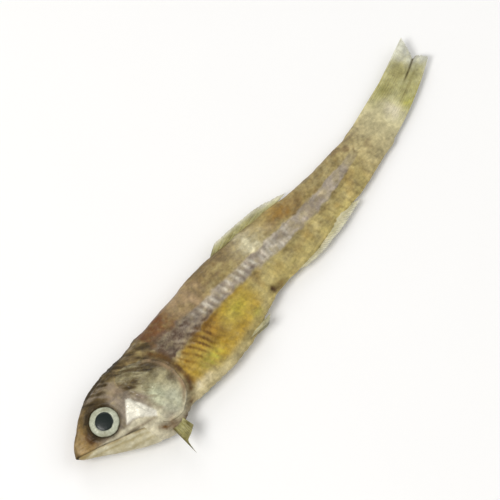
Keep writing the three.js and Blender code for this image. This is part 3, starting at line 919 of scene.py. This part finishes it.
def make_eye(hand, side, material):
    """An eye with its pupil, its swollen iris and its rim, set over the middle of its CAD solid."""
    low, high = (np.array(corner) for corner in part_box(hand + "_eye"))
    middle = ((low + high) / 2 - ORIGIN) / PERCENT
    out = np.linspace(0, 1, EYE_ROWS) ** 0.9
    turn = np.linspace(0, 2 * math.pi, EYE_AROUND, endpoint=False)
    r, a = np.meshgrid(out, turn, indexing="ij")
    ring = np.stack([r * np.cos(a), r * np.sin(a), 0 * r], -1)
    ragged = 0.03 * noise(ring, 0.35, 70) + 0.02 * noise(ring, 0.15, 71)
    pupil = 1 - smooth(PUPIL, PUPIL + 0.08, r + ragged)
    iris = smooth(PUPIL, PUPIL + 0.15, r) * (1 - smooth(0.88, 1, r))
    height = 0.72 * np.sqrt(np.clip(1 - r**2, 0, 1)) + 0.06 * iris - 0.05 * hump(r, 0.6, 0.06)
    height += 0.04 * pupil + 0.02 * np.cos(23 * a + 5 * noise(ring, 0.5, 72)) * iris
    front = np.stack([EYE_RADIUS * ring[..., 0], EYE_RADIUS * ring[..., 1], side * height], -1)
    rear = front[::-1] * [1, 1, -0.8]
    lens = np.concatenate([front, rear[1:]])
    turned = lens.copy()
    turned[..., 0] = lens[..., 0] * math.cos(EYE_TILT) - side * lens[..., 2] * math.sin(EYE_TILT)
    turned[..., 2] = lens[..., 2] * math.cos(EYE_TILT) + side * lens[..., 0] * math.sin(EYE_TILT)
    both = lambda mask: np.concatenate([mask, mask[::-1][1:]])
    masks = {
        "pupil": both(pupil),
        "rim": both(smooth(0.92, 1.0, r + ragged)),
        "tarnish": both(np.clip(0.35 + 0.8 * noise(ring, 0.5, 73), 0, 1) * iris * 0.7),
    }
    points, faces = closed_tube(turned + middle)
    mesh_piece(hand + "_eye", points, faces, all_with_ends(masks), material)


def make_gill_cover(hand, side, material):
    """A thin curved plate over the gills, with ridges that fan from its upper front corner."""
    edge = gill_edge(GILL_AROUND)
    out = np.linspace(0.02, 1, GILL_ROWS)
    side_view = np.array(GILL_MIDDLE) + (edge - GILL_MIDDLE)[None] * out[:, None, None]
    x, y = side_view[..., 0], side_view[..., 1]
    surface = flank_point(x, y, side)
    step = 0.02
    along = flank_point(x + step, y, side) - surface
    down = flank_point(x, y + step, side) - surface
    normals = unit(np.cross(along, down)) * side
    from_edge = inside(edge, x, y)
    free = gill_freedom(x, y)
    hinge_x, hinge_y = GILL_HINGE
    from_hinge = np.hypot(x - hinge_x, y - hinge_y)
    bearing = np.arctan2(hinge_y - y, x - hinge_x)
    fan = 0.035 * np.cos(34 * bearing + 1.5 * noise(surface, 3, 80))
    fan *= smooth(1.5, 5, from_hinge) * smooth(0.2, 1.2, from_edge)
    growth = 0.03 * np.cos(2 * math.pi * from_edge / 0.8) * smooth(3.2, 1, from_edge) * free
    fold = 0.14 * hump(y + 0.55 * (x - 14) + 4.6, 0, 0.35) * between(15, 20, x, 1)
    front_ridge = 0.1 * hump(x - 15.4 - 0.045 * (y + 1) ** 2, 0, 0.5) * between(-6, 3, y, 1)
    lumps = 0.1 * fractal(surface, 3, 81, 3)
    height = (fan + growth + fold + front_ridge + lumps) * smooth(0.4, 1.6, from_edge)
    height += skin_relief(x, y, surface)
    round_off = 1 - np.sqrt(np.clip(1 - (1 - np.clip(from_edge / 0.25, 0, 1)) ** 2, 0, 1))
    sunk_in = 0.12 * smooth(0.8, 0, from_edge) * (1 - free)
    outer = surface + normals * (height + 0.05 * free - 0.2 * round_off - sunk_in)[..., None]
    inner = surface - normals * GILL_DEPTH
    plate = np.concatenate([inner, outer[::-1]])
    plate[..., 2] = above_floor(plate[..., 2])
    masks = head_masks(x, y, surface)
    masks = {name: np.concatenate([mask, mask[::-1]]) for name, mask in masks.items()}
    points, faces = closed_tube(plate)
    mesh_piece(hand + "_gill_cover", points, faces, all_with_ends(masks), material)


# ---- fins ----

WEB_THICKNESS = 0.09  # millimetres between the rays at the root. It thins to the tip
STRIPS_PER_RAY, STEPS_ALONG = 10, 56


def fin_slab(base, tip, rays, height, fray, seed, bow=0.0, ray_size=0.22, rooted=1):
    """(points, faces, masks) of a fin: a thin web over rays that branch and end raggedly.

    height(across, along) is how high it lies, fray is how unevenly the rays end, bow is how far the
    rays curve to the back, and ray_size is their thickness in millimetres. rooted is 1 where the rays
    stand out from their roots on, and 0 where they rise slowly out of the flesh.
    """
    across, along = np.meshgrid(
        np.linspace(0, 1, rays * STRIPS_PER_RAY + 1), np.linspace(0, 1, STEPS_ALONG), indexing="ij")
    whole = 0.5 + 0.5 * np.cos(2 * math.pi * across * rays)
    split = 0.5 + 0.5 * np.cos(4 * math.pi * across * rays)
    ridge = whole + (split - whole) * smooth(0.45, 0.75, along)
    ridge *= rooted + (1 - rooted) * smooth(0.1, 0.35, along)
    place = np.stack([across * rays, 0 * across, 0 * across], -1)
    uneven = fray * (0.5 + 0.5 * noise(place, 0.8, 90 + seed))
    short = uneven + 0.5 * fray * (1 - ridge[:, -1:]) + 0 * along
    reach = along * (1 - short)
    root, edge = curve(base, across), curve(tip, across)
    spot = root + (edge - root) * reach[..., None]
    spot[..., 1] += bow * 4 * reach * (1 - reach)
    joints = 0.5 + 0.5 * np.cos(2 * math.pi * along * 26 + 3 * across * rays)
    wave = 0.16 * noise(np.stack([across * 3, along * 2, 0 * across], -1), 1, 91 + seed) * along
    middle = height(across, along) + wave + 0.05 * ridge * along
    rib = (ray_size - WEB_THICKNESS) * ridge**1.5 * (0.85 + 0.15 * joints)
    thick = (WEB_THICKNESS + rib) * (1 - 0.55 * along)
    thick *= np.sqrt(np.clip((1.02 - along) / 0.05, 0.15, 1))
    streak = smooth(0.1, 0.5, noise(np.stack([across * 7, along * 1.5, 0 * across], -1), 1, 92 + seed))
    upper = np.stack([spot[..., 0], spot[..., 1], middle + thick / 2 * MM], -1)
    lower = np.stack([spot[..., 0], spot[..., 1], middle - thick / 2 * MM], -1)
    points, faces = closed_tube(np.concatenate([upper, lower[:, ::-1]], axis=1))
    masks = {"across": across, "along": along, "ridge": ridge, "streak": streak}
    masks = {name: np.concatenate([mask, mask[:, ::-1]], axis=1) for name, mask in masks.items()}
    return points, faces, all_with_ends(masks)


def make_fin(node, slab, material, paint):
    """A fin from its slab. paint(points, shapes) gives the masks that differ from fin to fin."""
    points, faces, shapes = slab
    along, ridge = shapes["along"], shapes["ridge"]
    masks = dict.fromkeys(("lime", "olive", "flesh", "cream", "dark"), 0)
    masks["ray"] = 0.8 * ridge
    masks["tip"] = 0.5 * smooth(0.6, 1, along)
    masks["streak"] = 0.7 * shapes["streak"]
    masks["thin"] = (1 - ridge) * smooth(0.1, 0.7, along)
    masks.update(paint(points, shapes))
    masks = {name: mask + 0 * along for name, mask in masks.items()}
    mesh_piece(node, points, faces, clipped(masks), material)


def make_tail(web):
    notch = 0.53  # how far down the fan the two lobes part

    def height(across, along):
        fold = 0.4 * hump(across, notch, 0.035) * smooth(0.55, 1, along)
        return 1.45 + along * (0.9 - 0.7 * across) - fold

    def paint(points, shapes):
        x, y = points[:, 0], points[:, 1]
        ragged = fractal(points, 2, 95, 3)
        # painted shadow along the fold where the two lobes part
        cleft_shadow = hump(shapes["across"], notch, 0.045) * smooth(91.5, 95, x)
        return {
            "tip": smooth(95, 98.5, x + 0.5 * (y - 5) + ragged),
            "flesh": smooth(89, 84, x + 0.7 * ragged),
            "cream": 0.95 * patch(x, y, (87, 1.2), (2, 2.6)),
            "lime": 0.8 * patch(x, y, (90.3, 0.4), (1.7, 1.1)) + 0.4 * patch(x, y, (88, 5), (3, 1.3)),
            "olive": 0.3 * patch(x, y, (89, 4.4), (3, 1.6)),
            # painted shadow: the fold between the lobes, and the notch between their tips
            "dark": 0.75 * cleft_shadow + 0.5 * patch(x, y, (98.3, 5.4), (0.7, 0.7)),
        }

    tail = fin_slab(
        [(80.5, 4.9), (82.5, 4), (83, 2.6), (82.9, 0.9), (82.6, -1), (82, -2.7)],
        [(99.4, 9.4), (99, 8.3), (98.6, 7.2), (98.2, 6.2), (97.9, 5.4), (98.7, 5.1), (99.3, 4.6),
         (99.7, 4), (100, 3.4)],
        rays=18, height=height, fray=0.028, seed=1, bow=-0.72, rooted=0)
    make_fin("tail_fin", tail, web, paint)


def make_middle_fins(web):
    """The dorsal and the anal fin, which lie folded back."""
    dorsal = fin_slab(
        [(42.6, 6.6), (46, 6.5), (50, 5.8), (54.5, 5)],
        [(46.5, 8.5), (52, 8), (57.5, 7.2), (62.6, 5.3)],
        rays=11, height=lambda across, along: 2.75 - 0.45 * across + 0.3 * along,
        fray=0.06, seed=3, bow=0.1)
    make_fin("dorsal_fin", dorsal, web, lambda points, shapes: {
        "cream": 0.8 * smooth(0.75, 0.98, shapes["along"]),
        "lime": 0.4 * smooth(0.5, 0, shapes["along"]),
        "olive": 0.45 * smooth(0.9, 0.4, shapes["along"]),
    })
    anal = fin_slab(
        [(50.6, -4.9), (56, -5), (62, -4.7), (67.4, -4.2)],
        [(54.5, -6.8), (59, -7.1), (65, -6.6), (70.5, -5.6)],
        rays=14, height=lambda across, along: 2.5 - 0.55 * across - 0.2 * along, fray=0.08, seed=4)
    make_fin("anal_fin", anal, web, lambda points, shapes: {"cream": 0.5})


def make_paired_fins(web):
    """The left pectoral fin hangs free. The right one is pressed on the flank that the fish lies on."""
    hanging = fin_slab(
        [(15.3, -8.4), (16, -8.8), (17, -8.8), (17.9, -8.4)],
        [(14.5, -15.6), (15.2, -13), (16.6, -12.3), (18.1, -11.6)],
        rays=6, height=lambda across, along: 4.1 - 0.3 * across + 0.5 * along,
        fray=0.05, seed=5, ray_size=0.3, rooted=0)
    make_fin("left_pectoral_fin", hanging, web, lambda points, shapes: {
        "olive": 0.6 + 0.3 * shapes["streak"],
        "dark": 0.1 + 0.5 * smooth(0.35, 0, shapes["across"]),
        "thin": 0.3 * (1 - shapes["ridge"]),
        "tip": 0,
    })

    def on_flank(across, along):
        """From inside the flesh at the root to just outside the flank."""
        return 1.35 + 1.5 * across + (0.45 - 0.1 * across) * along - 0.62 * smooth(0, 0.25, along)

    pressed = fin_slab(
        [(22.4, -6.1), (22.1, -6.9), (21.7, -7.6), (21.3, -8.3)],
        [(29, -7.9), (28.3, -8.4), (27.2, -8.8), (25.5, -9)],
        rays=9, height=on_flank, fray=0.06, seed=6, rooted=0)
    make_fin("right_pectoral_fin", pressed, web, lambda points, shapes: {"olive": 0.5})

    for side, hand in ((1, "left"), (-1, "right")):
        pelvic = fin_slab(
            [(36.4, -8.2), (37.2, -8.1), (38, -7.9)],
            [(41.6, -8.8), (42.4, -8.4), (43, -7.9)],
            rays=6, height=lambda across, along: 2.75 + side * (0.7 + 0.2 * along),
            fray=0.08, seed=7, ray_size=0.18)
        make_fin(hand + "_pelvic_fin", pelvic, web, lambda points, shapes: {"cream": 0.4})


# ---- the whole fish ----

make_body(make_skin())
make_jaw(make_jaw_skin())
eye_material, plate_material = make_eye_material(), make_gill_plate()
for which, toward in (("left", 1), ("right", -1)):
    make_eye(which, toward, eye_material)
    make_gill_cover(which, toward, plate_material)
fin_material = make_fin_web()
make_tail(fin_material)
make_middle_fins(fin_material)
make_paired_fins(fin_material)
